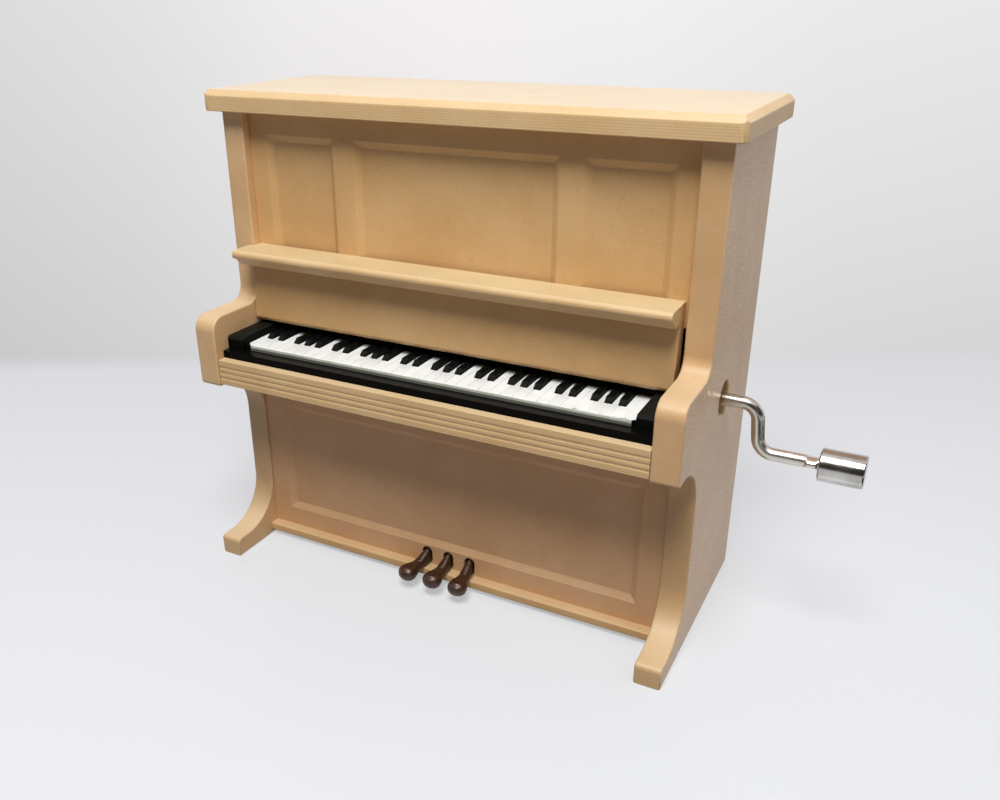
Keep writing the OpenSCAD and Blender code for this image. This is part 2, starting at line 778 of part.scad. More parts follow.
// Bent steel bracket that carries the crank on one side of the worm
module crank_bearing(side) {
    x_in = side*bearing_reach;
    x_out = side*(bearing_reach + cheek_t);
    bore_r = wire_d/2 + play;
    x_foot = side*(bearing_reach + cheek_t + foot_l);
    screw_x = bearing_screw_x()[(side + 1)/2];
    difference() {
        union() {
            translate([cyl_x, 0, crank_z - bearing_half]) {
                block([min(x_in, x_out), crank_y, 0], [max(x_in, x_out), bed_face, 2*bearing_half]);
                block([min(x_in, x_foot), bed_face - cheek_t, 0],
                      [max(x_in, x_foot), bed_face, 2*bearing_half]);
            }
            translate([cyl_x, crank_y, crank_z]) rod_x(min(x_in, x_out), max(x_in, x_out), bearing_half);
        }
        translate([cyl_x, crank_y, crank_z]) rod_x(min(x_in, x_out) - 1, max(x_in, x_out) + 1, bore_r);
        translate([screw_x, 0, crank_z]) rod_y(bed_face - 3, bed_face + 1, screw_r + fit);
    }
}

module inner_crank_bearing() color(steel) crank_bearing(-1);
module outer_crank_bearing() color(steel) crank_bearing(1);

module bearing_screws() color(steel) {
    for (x = bearing_screw_x())
        translate([x, 0, crank_z]) pan_screw(bed_face - cheek_t, cheek_t + bed_t - 0.3);
}

// Worm thread: a trapezoid ridge swept along a right-hand helix round X
thread_turns = 3.5;
thread_steps = 20;
thread_root_half = 0.52;
thread_tip_half = 0.26;

function thread_ring(k) =
    let (n = thread_turns*thread_steps, a = 360*k/thread_steps, x = worm_pitch*(k - n/2)/thread_steps)
    [for (c = [[-thread_root_half, worm_root_r - 0.2], [-thread_tip_half, worm_tip_r],
               [thread_tip_half, worm_tip_r], [thread_root_half, worm_root_r - 0.2]])
        [x + c[0], c[1]*cos(a), c[1]*sin(a)]];

module worm_thread() {
    n = thread_turns*thread_steps;
    rings = [for (k = [0:n]) thread_ring(k)];
    points = [for (ring = rings) each ring];
    sides = [for (k = [0:n - 1]) for (j = [0:3]) let (a = 4*k + j, b = 4*k + (j + 1)%4)
        each [[a, b, b + 4], [a, b + 4, a + 4]]];
    ends = [[3, 2, 1], [3, 1, 0], [4*n, 4*n + 1, 4*n + 2], [4*n, 4*n + 2, 4*n + 3]];
    polyhedron(points = points, faces = concat(sides, ends));
}

module worm() color(brass) {
    half = bearing_reach - 0.2;
    translate([cyl_x, crank_y, crank_z]) difference() {
        union() {
            rod_x(-half, half, worm_root_r);
            rotate([-180*thread_turns, 0, 0]) worm_thread();
        }
        rod_x(-half - 1, half + 1, wire_d/2);
    }
}

// Bent wire: an arc of the wire's round section, a hair short at both ends
module wire_bend() {
    short = 1;
    rotate([90, 0, 0]) rotate([0, 0, short]) rotate_extrude(angle = bend_angle - 2*short)
        translate([bend_r, 0]) circle(wire_d/2);
}

// Where a straight runs into a bend, the tools' marks leave the wire a hair thicker
module wire_joint() {
    mark = 0.02;
    rod_x(-0.15, 0.15, wire_d/2 + mark);
}

module crank() color(steel) {
    r = wire_d/2;
    short = 0.05;
    ear_l = 1.6;
    ear_w = 3.3;
    ear_t = 1;
    bend_end = bend_x + bend_r*sin(bend_angle);
    translate([0, crank_y, crank_z]) {
        rod_x(crank_end_x, bend_x - short, r);
        translate([bend_x, 0, 0]) wire_joint();
        translate([bend_x, 0, -bend_r]) rotate([0, bend_angle - 90, 0]) wire_bend();
        translate([bend_end, 0, -bend_drop]) rotate([0, bend_angle, 0]) {
            wire_joint();
            rod_x(short, slant_l - short, r);
            translate([slant_l, 0, 0]) wire_joint();
        }
        translate([tail_x, 0, bend_r - crank_throw]) rotate([0, bend_angle + 90, 0]) wire_bend();
        translate([tail_x, 0, -crank_throw]) {
            wire_joint();
            rod_x(short, crank_tail + crank_rivet_l, r);
            block([crank_tail - 0.5 - ear_l, -ear_w/2, -ear_t/2], [crank_tail - 0.5, ear_w/2, ear_t/2]);
        }
    }
}

// Turned sleeve that spins on the end of the wire
module crank_knob() color(steel) {
    c = 0.3;
    r = knob_d/2;
    translate([knob_x, crank_y, knob_z]) difference() {
        rotate([0, 90, 0]) rotate_extrude() polygon([
            [0, 0], [r - c, 0], [r, c], [r, knob_l - c], [r - c, knob_l], [0, knob_l]
        ]);
        rod_x(-1, crank_rivet_l + 0.2, knob_bore_r);
    }
}

placed() left_end_panel();
placed() right_end_panel();
placed() top_lid();
placed() upper_front_panel();
placed() music_shelf();
placed() fallboard();
placed() keyboard_base();
placed() white_keys();
placed() black_keys();
placed() key_bed();
placed() lower_front_panel();
placed() bottom_board();
placed() left_pedal();
placed() middle_pedal();
placed() right_pedal();
placed() back_panel();
placed() movement_screws();
placed() bedplate();
placed() comb();
placed() comb_screws();
placed() pinned_cylinder();
placed() cylinder_arbor();
placed() worm_wheel();
placed() inner_crank_bearing();
placed() outer_crank_bearing();
placed() bearing_screws();
placed() worm();
placed() crank();
placed() crank_knob();
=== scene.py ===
import json
import math
import bmesh
import bpy
from mathutils import Matrix, Vector


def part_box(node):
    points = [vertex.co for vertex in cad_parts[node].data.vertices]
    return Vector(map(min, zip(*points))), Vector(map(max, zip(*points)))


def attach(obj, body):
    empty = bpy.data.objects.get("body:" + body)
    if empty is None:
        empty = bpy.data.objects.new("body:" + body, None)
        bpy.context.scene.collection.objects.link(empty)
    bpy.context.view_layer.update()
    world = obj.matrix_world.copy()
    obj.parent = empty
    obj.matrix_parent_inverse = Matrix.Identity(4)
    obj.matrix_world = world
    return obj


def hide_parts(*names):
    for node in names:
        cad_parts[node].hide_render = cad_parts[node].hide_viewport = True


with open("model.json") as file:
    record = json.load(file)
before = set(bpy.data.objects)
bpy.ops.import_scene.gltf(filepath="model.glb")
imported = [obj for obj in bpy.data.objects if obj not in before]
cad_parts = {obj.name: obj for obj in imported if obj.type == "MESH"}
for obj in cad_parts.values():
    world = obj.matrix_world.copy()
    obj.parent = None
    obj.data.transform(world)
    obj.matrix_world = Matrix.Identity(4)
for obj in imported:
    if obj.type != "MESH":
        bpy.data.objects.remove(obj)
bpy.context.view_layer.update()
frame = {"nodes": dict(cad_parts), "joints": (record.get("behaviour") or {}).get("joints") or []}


# End panels
# Two boards of tan PLA, printed flat on a textured steel sheet, cut to the outline of post, arm, leg
# and foot. The boards of the case are glued into grooves in their inner faces.

MM = 0.001
OUTER_ROUND, INNER_ROUND = 0.7*MM, 0.35*MM
NEAR = 0.02*MM


def piece(name, bm, body, materials, replaced, smooth=30):
    """Turns a finished bmesh into a piece that rides on a body and stands for a CAD node. Edges sharper
    than the angle smooth stay sharp."""
    mesh = bpy.data.meshes.new(name)
    bm.to_mesh(mesh)
    bm.free()
    mesh.shade_smooth()
    mesh.set_sharp_from_angle(angle=math.radians(smooth))
    for material in materials:
        mesh.materials.append(material)
    made = bpy.data.objects.new(name, mesh)
    bpy.context.scene.collection.objects.link(made)
    made.modifiers.new("even_flats", "WEIGHTED_NORMAL").keep_sharp = True
    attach(made, body)
    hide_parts(replaced)


def flats_of(node):
    """The node's faces with their flats joined up, ready to have their edges eased."""
    bm = bmesh.new()
    bm.from_mesh(frame["nodes"][node].data)
    for layer in list(bm.loops.layers.uv):
        bm.loops.layers.uv.remove(layer)
    bmesh.ops.remove_doubles(bm, verts=bm.verts, dist=0.002*MM)
    bmesh.ops.dissolve_limit(bm, angle_limit=math.radians(0.4), verts=bm.verts, edges=bm.edges)
    for face in bm.faces:
        face.material_index = 0
    return bm


def ease(bm, width, steps, only=None, sharp=25):
    """Rounds the edges sharper than that angle, all of them or only those in the set."""
    edges = [e for e in bm.edges if len(e.link_faces) == 2
             and e.calc_face_angle() > math.radians(sharp) and (only is None or e in only)]
    bmesh.ops.bevel(bm, geom=edges, offset=width, offset_type="OFFSET", segments=steps,
                    profile=0.5, affect="EDGES", clamp_overlap=True)
    bm.normal_update()


def dress(bm, number, chosen):
    """Gives the faces for which chosen(face) is true the piece's material of that number."""
    for face in bm.faces:
        if chosen(face):
            face.material_index = number


def lies_on(face, axis, way, place):
    """True for a face that looks that way along an axis and lies at that place on it."""
    return face.normal[axis]*way > 0.95 and abs(face.calc_center_median()[axis] - place) < 0.05*MM


def tone(code):
    """An sRGB hex colour as linear light."""
    parts = [int(code[i:i + 2], 16)/255 for i in (1, 3, 5)]
    return [p/12.92 if p <= 0.04045 else ((p + 0.055)/1.055)**2.4 for p in parts] + [1]


def add(tree, kind, settings, links=None):
    """Adds one shader node with its settings and links."""
    made = tree.nodes.new("ShaderNode" + kind)
    sockets = {s.name: s for s in reversed(made.inputs)}
    sockets.update({s.identifier: s for s in made.inputs})
    for key, value in settings.items():
        if key == "stops":
            ramp = made.color_ramp.elements
            while len(ramp) < len(value):
                ramp.new(0.5)
            for stop, (place, colour) in zip(ramp, value):
                stop.position = place
                stop.color = colour
        elif key in sockets:
            sockets[key].default_value = value
        else:
            setattr(made, key, value)
    for key, source in (links or {}).items():
        tree.links.new(source, sockets[key])
    return made


def finish_of(name):
    """A new material with its tree, which holds only the output."""
    made = bpy.data.materials.new(name)
    made.use_nodes = True
    made.node_tree.nodes.clear()
    return made, made.node_tree, made.node_tree.nodes.new("ShaderNodeOutputMaterial")


def lines_at(pitch):
    """The scale at which a wave texture's lines are that far apart."""
    return math.pi/10/pitch


def tan_pla(name, stack, tans=("#dab17c", "#d5aa73", "#cfa36c"), raster=0.0, rough=(0.36, 0.5)):
    """Matte tan PLA, printed in layers along one axis. The eye gets a soft, even tan, clouded a little
    by the filament, with fine parallel lines where the layers stack, a few dull specks, and a paler
    tint on what faces up, which is painted sheen from the light on top. The layers are 0.2 mm, drawn
    at 0.45 mm so that they show. The tans go from pale to deep, and raster is the strength of the top
    skin's lines."""
    pale, mid, deep = tans
    made, tree, out = finish_of(name)
    place = add(tree, "TexCoord", {})
    cloud = add(tree, "TexNoise", {"Scale": 1/(14*MM), "Detail": 3, "Roughness": 0.55},
                {"Vector": place.outputs["Object"]})
    grain = add(tree, "TexNoise", {"Scale": 1/(0.5*MM), "Detail": 2, "Roughness": 0.6},
                {"Vector": place.outputs["Object"]})
    both = add(tree, "Math", {"operation": "MULTIPLY_ADD", "Value_001": 0.35},
               {"Value": grain.outputs["Fac"], "Value_002": cloud.outputs["Fac"]})
    colour = add(tree, "ValToRGB", {"stops": [(0.5, tone(deep)), (0.68, tone(mid)), (0.86, tone(pale))]},
                 {"Fac": both.outputs["Value"]})
    speck = add(tree, "TexNoise", {"Scale": 1/(0.8*MM), "Detail": 0},
                {"Vector": place.outputs["Object"]})
    speckled = add(tree, "ValToRGB", {"stops": [(0.17, tone("#b08a60")), (0.22, tone("#ffffff"))]},
                   {"Fac": speck.outputs["Fac"]})
    painted = add(tree, "Mix", {"data_type": "RGBA", "blend_type": "MULTIPLY", "Factor_Float": 0.13},
                  {"A_Color": colour.outputs["Color"], "B_Color": speckled.outputs["Color"]})
    # What faces up is mixed towards a paler tan: painted sheen from the light on top
    faced = add(tree, "SeparateXYZ", {}, {"Vector": place.outputs["Normal"]})
    painted_sheen_share = add(tree, "MapRange", {"From Min": 0.35, "From Max": 1.0, "To Max": 0.35},
                  {"Value": faced.outputs["Z"]})
    painted_top_sheen = add(tree, "Mix", {"data_type": "RGBA", "B_Color": tone("#dccdab")},
                {"Factor_Float": painted_sheen_share.outputs["Result"], "A_Color": painted.outputs[2]})
    layers = add(tree, "TexWave", {"bands_direction": stack, "Scale": lines_at(0.45*MM),
                                   "Distortion": 0.6, "Detail": 1, "Detail Scale": 0.2},
                 {"Vector": place.outputs["Object"]})
    turned = add(tree, "Mapping", {"Rotation": (0, math.radians(45), 0)},
                 {"Vector": place.outputs["Object"]})
    skin = add(tree, "TexWave", {"bands_direction": "X", "Scale": lines_at(0.5*MM), "Distortion": 0.8,
                                 "Detail": 1, "Detail Scale": 0.2}, {"Vector": turned.outputs["Vector"]})
    skinned = add(tree, "Math", {"operation": "MULTIPLY_ADD", "Value_001": raster},
                  {"Value": skin.outputs["Fac"], "Value_002": layers.outputs["Fac"]})
    height = add(tree, "Math", {"operation": "MULTIPLY_ADD", "Value_001": 1.2},
                 {"Value": grain.outputs["Fac"], "Value_002": skinned.outputs["Value"]})
    bump = add(tree, "Bump", {"Strength": 0.35, "Distance": 0.03*MM}, {"Height": height.outputs["Value"]})
    dull = add(tree, "MapRange", {"To Min": rough[0], "To Max": rough[1]}, {"Value": grain.outputs["Fac"]})
    shader = add(tree, "BsdfPrincipled", {"IOR": 1.46},
                 {"Base Color": painted_top_sheen.outputs[2], "Roughness": dull.outputs["Result"],
                  "Normal": bump.outputs["Normal"]})
    tree.links.new(shader.outputs["BSDF"], out.inputs["Surface"])
    return made


def sheet_pla():
    """The same PLA where it lay on the textured sheet. Thousands of tiny pits, 0.3 to 0.5 mm across,
    scatter the light, so the face looks greyer than the edges and sparkles in light and dark grains.
    That light is painted into its colour: the greyer tan is painted sheen, and the pale grains are
    painted glints."""
    made, tree, out = finish_of("tan_pla_textured_sheet")
    place = add(tree, "TexCoord", {})
    pits = add(tree, "TexNoise", {"Scale": 1/(0.5*MM), "Detail": 2, "Roughness": 0.6},
               {"Vector": place.outputs["Object"]})
    cloud = add(tree, "TexNoise", {"Scale": 1/(9*MM), "Detail": 4, "Roughness": 0.6},
                {"Vector": place.outputs["Object"]})
    mixed = add(tree, "Math", {"operation": "MULTIPLY_ADD", "Value_001": 0.3},
                {"Value": cloud.outputs["Fac"], "Value_002": pits.outputs["Fac"]})
    # The greyer tan is painted sheen
    colour = add(tree, "ValToRGB", {"stops": [(0.42, tone("#c59e7b")), (0.62, tone("#dcb58c")),
                                              (0.86, tone("#eaccab"))]},
                 {"Fac": mixed.outputs["Value"]})
    # Pale grains are painted glints
    glint_spots = add(tree, "TexNoise", {"Scale": 1/(0.9*MM), "Detail": 1, "Roughness": 0.7},
                {"Vector": place.outputs["Object"]})
    glint = add(tree, "MapRange", {"From Min": 0.66, "From Max": 0.74, "To Max": 0.55},
                {"Value": glint_spots.outputs["Fac"]})
    with_painted_glints = add(tree, "Mix", {"data_type": "RGBA", "B_Color": tone("#f4e7d3")},
                  {"Factor_Float": glint.outputs["Result"], "A_Color": colour.outputs["Color"]})
    bump = add(tree, "Bump", {"Strength": 0.6, "Distance": 0.1*MM}, {"Height": pits.outputs["Fac"]})
    shader = add(tree, "BsdfPrincipled", {"IOR": 1.46, "Roughness": 0.4},
                 {"Base Color": with_painted_glints.outputs[2], "Normal": bump.outputs["Normal"]})
    tree.links.new(shader.outputs["BSDF"], out.inputs["Surface"])
    return made


# The left panel's edges are painted a lighter, paler tan than the right panel's: painted light and shade on
# one PLA
left_edge_painted_lit = tan_pla("tan_pla_left_panel_edge", "X", ("#ddb98c", "#d8b183", "#d2aa7a"))
right_edge_painted_shade = tan_pla("tan_pla_right_panel_edge", "X", ("#d7b182", "#d2a979", "#cca270"))
panel_sheet = sheet_pla()
for node, side, panel_edge in (("left_end_panel", -1, left_edge_painted_lit), ("right_end_panel", 1, right_edge_painted_shade)):
    low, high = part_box(node)
    outer, inner = (high.x, low.x) if side > 0 else (low.x, high.x)
    bm = flats_of(node)
    # An edge of the outline borders a face that goes through the board, and a groove's edge doesn't.
    # Least is the width that such a face has at that time
    for x, width, steps, least in ((outer, OUTER_ROUND, 4, 4.5*MM), (inner, INNER_ROUND, 3, 3.9*MM)):
        through = {f for f in bm.faces
                   if max(v.co.x for v in f.verts) - min(v.co.x for v in f.verts) > least}
        rim = {e for e in bm.edges if any(f in through for f in e.link_faces)
               and all(abs(v.co.x - x) < NEAR for v in e.verts)}
        ease(bm, width, steps, rim)
    dress(bm, 1, lambda f: lies_on(f, 0, side, outer))
    piece("printed_" + node, bm, "case", [panel_edge, panel_sheet], node)


# Bottom board and back panel
# Plain boards of the same PLA. The bottom board's front edge shows as a toe rail, and the back panel
# sits in a rebate and carries the movement on three screws.

BOTTOM_EASE, BACK_EASE = 0.35*MM, 0.25*MM
board_face = tan_pla("tan_pla_printed_face_up", "Y", raster=0.7)
board_flat = tan_pla("tan_pla_printed_flat", "Z")
bm = flats_of("bottom_board")
ease(bm, BOTTOM_EASE, 3)
piece("printed_bottom_board", bm, "case", [board_flat], "bottom_board")

back_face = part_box("back_panel")[1].y
bm = flats_of("back_panel")
ease(bm, BACK_EASE, 2)
dress(bm, 1, lambda f: lies_on(f, 1, 1, back_face))
piece("printed_back_panel", bm, "case", [board_face, panel_sheet], "back_panel")


# Front panels
# Two thin boards with sunk fields, printed face up, so that each field's slope and floor are drawn by
# the nozzle. The edges of the fields are soft, because the slope is only a few layers high.

FIELD_EASE = 0.15*MM
# The lower panel is painted a lighter, paler tan than the upper one: painted light in the shade under the
# key bed
lower_face_painted_light = tan_pla("tan_pla_lower_panel_face_up", "Y", ("#dfb185", "#daaa7c", "#d4a375"), raster=0.7)
for node, print_face in (("upper_front_panel", board_face), ("lower_front_panel", lower_face_painted_light)):
    bm = flats_of(node)
    ease(bm, FIELD_EASE, 2)
    piece("printed_" + node, bm, "case", [print_face], node)


# Lid
# A slab printed top down on the bed, with a chamfer all round. A tongue under it drops into the case
# and holds it without glue, so that the movement can be reached.


def faces_up(face):
    """True for a level face on top of a piece."""
    return face.normal.z > 0.95


LID_EASE = 0.3*MM
SMOOTH = (0.2, 0.3)
lid_pla = tan_pla("tan_pla_printed_in_flat_layers", "Z", ("#dcba8a", "#d8b482", "#d3ad7a"), raster=0.3)
# The lid's top is painted paler and creamier than its sides: painted sheen from the light on top
smooth_pla_painted_sheen = tan_pla("tan_pla_smooth_sheet", "Z", ("#dec196", "#dabc8e", "#d5b585"), rough=SMOOTH)
bm = flats_of("top_lid")
ease(bm, LID_EASE, 3)
dress(bm, 1, faces_up)
piece("printed_top_lid", bm, "case", [lid_pla, smooth_pla_painted_sheen], "top_lid")


# Music shelf and fallboard
# A nosed shelf with a bevelled underside, and the leaning board between it and the keys. Both are
# glued to the upper panel.

SHELF_EASE, FALL_EASE = 0.3*MM, 0.25*MM
# The shelf's top is painted a creamier tan than its sides: painted sheen from the light on top
shelf_top_painted_sheen = tan_pla("tan_pla_smooth_shelf", "Z", ("#d5bc8e", "#d0b684", "#caae7a"), rough=SMOOTH)
# The fallboard is painted a deeper tan than the other boards: painted shade under the shelf
fall_pla_painted_shade = tan_pla("tan_pla_printed_on_end_painted_shade", "X", ("#cda573", "#c89f6c", "#c29864"))
for node, width, print_face in (("music_shelf", SHELF_EASE, lid_pla), ("fallboard", FALL_EASE, fall_pla_painted_shade)):
    bm = flats_of(node)
    ease(bm, width, 3)
    dress(bm, 1, faces_up)
    piece("printed_" + node, bm, "case", [print_face, shelf_top_painted_sheen], node)


# Key bed
# The rail under the keyboard, between the two arms, printed in flat layers and reeded along its front.
# The grooves look shallower than those of the solid, so here they are about a third as deep.

SOLID_REED, REED, REED_EASE = 0.35*MM, 0.12*MM, 0.1*MM
bed_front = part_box("key_bed")[0].y
bm = flats_of("key_bed")
for v in bm.verts:
    if abs(v.co.y - bed_front - SOLID_REED) < NEAR:
        v.co.y = bed_front + REED
ease(bm, REED_EASE, 2, sharp=10)
piece("printed_key_bed", bm, "case", [lid_pla], "key_bed")


# Keyboard tray
# One black print that holds the keys: floor, back wall, key slip and two stepped cheek blocks. It lies
# on the key bed. The cheek tops are painted a lighter black, a painted sheen, and the slip's ledge is
# smooth enough to mirror the keys.


def black_pla(name, deep, mid, dust, gloss=0.045, rough=(0.4, 0.58)):
    """Satin black PLA. The eye gets a near black with a soft grey sheen along the edges, broken by
    layer lines, drawn at 0.4 mm so that they show, and a little dust. Gloss is its specular level."""
    made, tree, out = finish_of(name)
    place = add(tree, "TexCoord", {})
    grain = add(tree, "TexNoise", {"Scale": 1/(0.6*MM), "Detail": 3}, {"Vector": place.outputs["Object"]})
    colour = add(tree, "ValToRGB", {"stops": [(0.35, tone(deep)), (0.65, tone(mid)), (0.85, tone(dust))]},
                 {"Fac": grain.outputs["Fac"]})
    layers = add(tree, "TexWave", {"bands_direction": "Z", "Scale": lines_at(0.4*MM), "Distortion": 0.4},
                 {"Vector": place.outputs["Object"]})
    height = add(tree, "Math", {"operation": "ADD"},
                 {"Value": layers.outputs["Fac"], "Value_001": grain.outputs["Fac"]})
    bump = add(tree, "Bump", {"Strength": 0.3, "Distance": 0.03*MM}, {"Height": height.outputs["Value"]})
    dull = add(tree, "MapRange", {"To Min": rough[0], "To Max": rough[1]}, {"Value": grain.outputs["Fac"]})
    shader = add(tree, "BsdfPrincipled", {"IOR": 1.46, "Specular IOR Level": gloss},
                 {"Base Color": colour.outputs["Color"], "Roughness": dull.outputs["Result"],
                  "Normal": bump.outputs["Normal"]})
    tree.links.new(shader.outputs["BSDF"], out.inputs["Surface"])
    return made


TRAY_EASE = 0.2*MM
black = black_pla("black_pla_printed", "#080808", "#0c0c0b", "#151412")
sheen_black = black_pla("black_pla_painted_sheen", "#161715", "#1d1e1b", "#2a2b27")
ledge_black = black_pla("black_pla_smooth_ledge", "#080808", "#0b0b0a", "#100f0e", 0.16, (0.18, 0.3))
bm = flats_of("keyboard_base")
ease(bm, TRAY_EASE, 3)
key_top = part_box("white_keys")[1].z
# Faces up above the white keys, the cheeks' tops, get the lighter black: painted sheen
dress(bm, 1, lambda f: f.normal.z > 0.7 and f.calc_center_median().z > key_top)
dress(bm, 2, lambda f: f.normal.z > 0.7 and f.calc_center_median().z <= key_top)
piece("printed_keyboard_base", bm, "case", [black, sheen_black, ledge_black],
      "keyboard_base")


# White and black keys
# The white keys are one white print with a groove between each pair, and the black keys stand in
# notches in it. Light leaks through the thin front lip, which looks greyer and a little green.


def white_pla(name, pale, deep, rough, dark_to=None):
    """White PLA. The eye gets a clean white with faint clouds, a soft gloss and layer lines, drawn at
    0.4 mm so that they show. Below the height dark_to it is painted grey, a painted shade on the
    lip's lower part."""
    made, tree, out = finish_of(name)
    place = add(tree, "TexCoord", {})
    cloud = add(tree, "TexNoise", {"Scale": 1/(3*MM), "Detail": 4, "Roughness": 0.6},
                {"Vector": place.outputs["Object"]})
    colour = add(tree, "ValToRGB", {"stops": [(0.35, tone(deep)), (0.6, tone(pale))]},
                 {"Fac": cloud.outputs["Fac"]})
    base = colour.outputs["Color"]
    if dark_to is not None:
        axes = add(tree, "SeparateXYZ", {}, {"Vector": place.outputs["Object"]})
        lit = add(tree, "MapRange", {"From Min": dark_to - 0.15*MM, "From Max": dark_to + 0.1*MM},
                  {"Value": axes.outputs["Z"]})
        # The lip's lower part is painted grey: painted shade
        base = add(tree, "Mix", {"data_type": "RGBA", "A_Color": tone("#6f7066")},
                   {"Factor_Float": lit.outputs["Result"], "B_Color": base}).outputs[2]
    layers = add(tree, "TexWave", {"bands_direction": "Z", "Scale": lines_at(0.4*MM), "Distortion": 0.4},
                 {"Vector": place.outputs["Object"]})
    bump = add(tree, "Bump", {"Strength": 0.25, "Distance": 0.03*MM}, {"Height": layers.outputs["Fac"]})
    shader = add(tree, "BsdfPrincipled", {"IOR": 1.46, "Roughness": rough},
                 {"Base Color": base, "Normal": bump.outputs["Normal"]})
    tree.links.new(shader.outputs["BSDF"], out.inputs["Surface"])
    return made


LIP_LIT, BLACK_KEY_EASE = 0.55*MM, 0.09*MM
bm = flats_of("white_keys")
dress(bm, 1, lambda f: f.normal.y < -0.6)
piece("printed_white_keys", bm, "case",
      [white_pla("white_pla_printed", "#f3f5f4", "#edefec", 0.34),
       white_pla("white_pla_thin_lip", "#e6e8d9", "#d6d8c6", 0.45, key_top - LIP_LIT)], "white_keys")

bm = flats_of("black_keys")
ease(bm, BLACK_KEY_EASE, 2)
# The black keys' fronts get the lighter black: painted sheen
dress(bm, 1, lambda f: f.normal.y < -0.3)
piece("printed_black_keys", bm, "case", [black, sheen_black], "black_keys")


# Pedals
# Three small levers printed in a silky bronze filament, pushed through slots in the lower panel from
# behind, with a thin neck and a rounded toe. The two outer ones fan out.


def bronze_pla():
    """Silk bronze PLA. The eye gets a dark chocolate brown with a broad metallic sheen, cut into
    fine stripes by the layers, which are drawn at 0.3 mm."""
    made, tree, out = finish_of("bronze_silk_pla_printed")
    place = add(tree, "TexCoord", {})
    layers = add(tree, "TexWave", {"bands_direction": "Z", "Scale": lines_at(0.3*MM), "Distortion": 0.15},
                 {"Vector": place.outputs["Object"]})
    grain = add(tree, "TexNoise", {"Scale": 1/(0.8*MM), "Detail": 3}, {"Vector": place.outputs["Object"]})
    mixed = add(tree, "Math", {"operation": "MULTIPLY_ADD", "Value_001": 0.2},
                {"Value": layers.outputs["Fac"], "Value_002": grain.outputs["Fac"]})
    colour = add(tree, "ValToRGB", {"stops": [(0.35, tone("#2b1508")), (0.6, tone("#3d210d")),
                                              (0.9, tone("#55351a"))]},
                 {"Fac": mixed.outputs["Value"]})
    bump = add(tree, "Bump", {"Strength": 0.3, "Distance": 0.03*MM}, {"Height": layers.outputs["Fac"]})
    shader = add(tree, "BsdfPrincipled", {"IOR": 1.78, "Metallic": 0.4, "Roughness": 0.4},
                 {"Base Color": colour.outputs["Color"], "Normal": bump.outputs["Normal"]})
    tree.links.new(shader.outputs["BSDF"], out.inputs["Surface"])
    return made


def loft(bm, rings):
    """Joins closed rings of points into one skin and caps both ends."""
    for one, two in zip(rings, rings[1:]):
        for k in range(len(one)):
            after = (k + 1) % len(one)
            bm.faces.new((one[k], one[after], two[after], two[k]))
    bm.faces.new(rings[0][::-1])
    bm.faces.new(rings[-1])
    bmesh.ops.recalc_face_normals(bm, faces=bm.faces)


bronze = bronze_pla()
panel_low, panel_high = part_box("lower_front_panel")
PEDAL_PITCH, PEDAL_FAN, PEDAL_LEAN = 5*MM, 8, 4
PEDAL_SIDES, SECTION_STEP, TOE_STEPS = 56, 0.05, 24
# The layers' height in mm, how much of it is slope, and how square a section is, where 1 is an ellipse
LAYER, SLOPE, SQUARE = 0.2, 0.35, 0.9
# The toe is half an ellipsoid: where it starts, its length, half width, height and half height, in mm
TOE_REACH, TOE_R, TOE_W, TOE_Z, TOE_H = 6.3, 1.7, 2.0, 3.3, 1.6
# Reach in front of the panel, half width, height of the middle, half height, in mm
PEDAL_STATIONS = [
    (-6.1, 0.9, 4.55, 1.6), (-4.0, 0.85, 4.55, 1.65), (-1.0, 0.85, 4.5, 1.65), (0.0, 0.85, 4.45, 1.65),
    (1.0, 1.0, 4.2, 1.4), (2.0, 1.08, 3.95, 1.15), (3.0, 1.15, 3.7, 1.0), (4.0, 1.35, 3.47, 1.18),
    (5.0, 1.72, 3.38, 1.44), (5.7, 1.94, 3.32, 1.57), (TOE_REACH, TOE_W, TOE_Z, TOE_H),
]
# A smooth curve through the stations, with close sections where the pedal shows
sections = []
for i, (one, two) in enumerate(zip(PEDAL_STATIONS, PEDAL_STATIONS[1:])):
    before, after = PEDAL_STATIONS[max(i - 1, 0)], PEDAL_STATIONS[min(i + 2, len(PEDAL_STATIONS) - 1)]
    span = two[0] - one[0]
    steps = max(2, round(span/SECTION_STEP)) if one[0] >= 0 else 3
    for k in range(steps):
        t = k/steps
        section = [one[0] + t*span]
        for n in (1, 2, 3):
            leave = (two[n] - before[n])/(two[0] - before[0])*span
            arrive = (after[n] - one[n])/(after[0] - one[0])*span
            section.append(one[n]*(2*t**3 - 3*t**2 + 1) + leave*(t**3 - 2*t**2 + t)
                           + two[n]*(3*t**2 - 2*t**3) + arrive*(t**3 - t**2))
        sections.append(section)
for k in range(TOE_STEPS + 1):
    a = math.radians(88*k/TOE_STEPS)
    sections.append((TOE_REACH + TOE_R*math.sin(a), TOE_W*math.cos(a), TOE_Z, TOE_H*math.cos(a)))
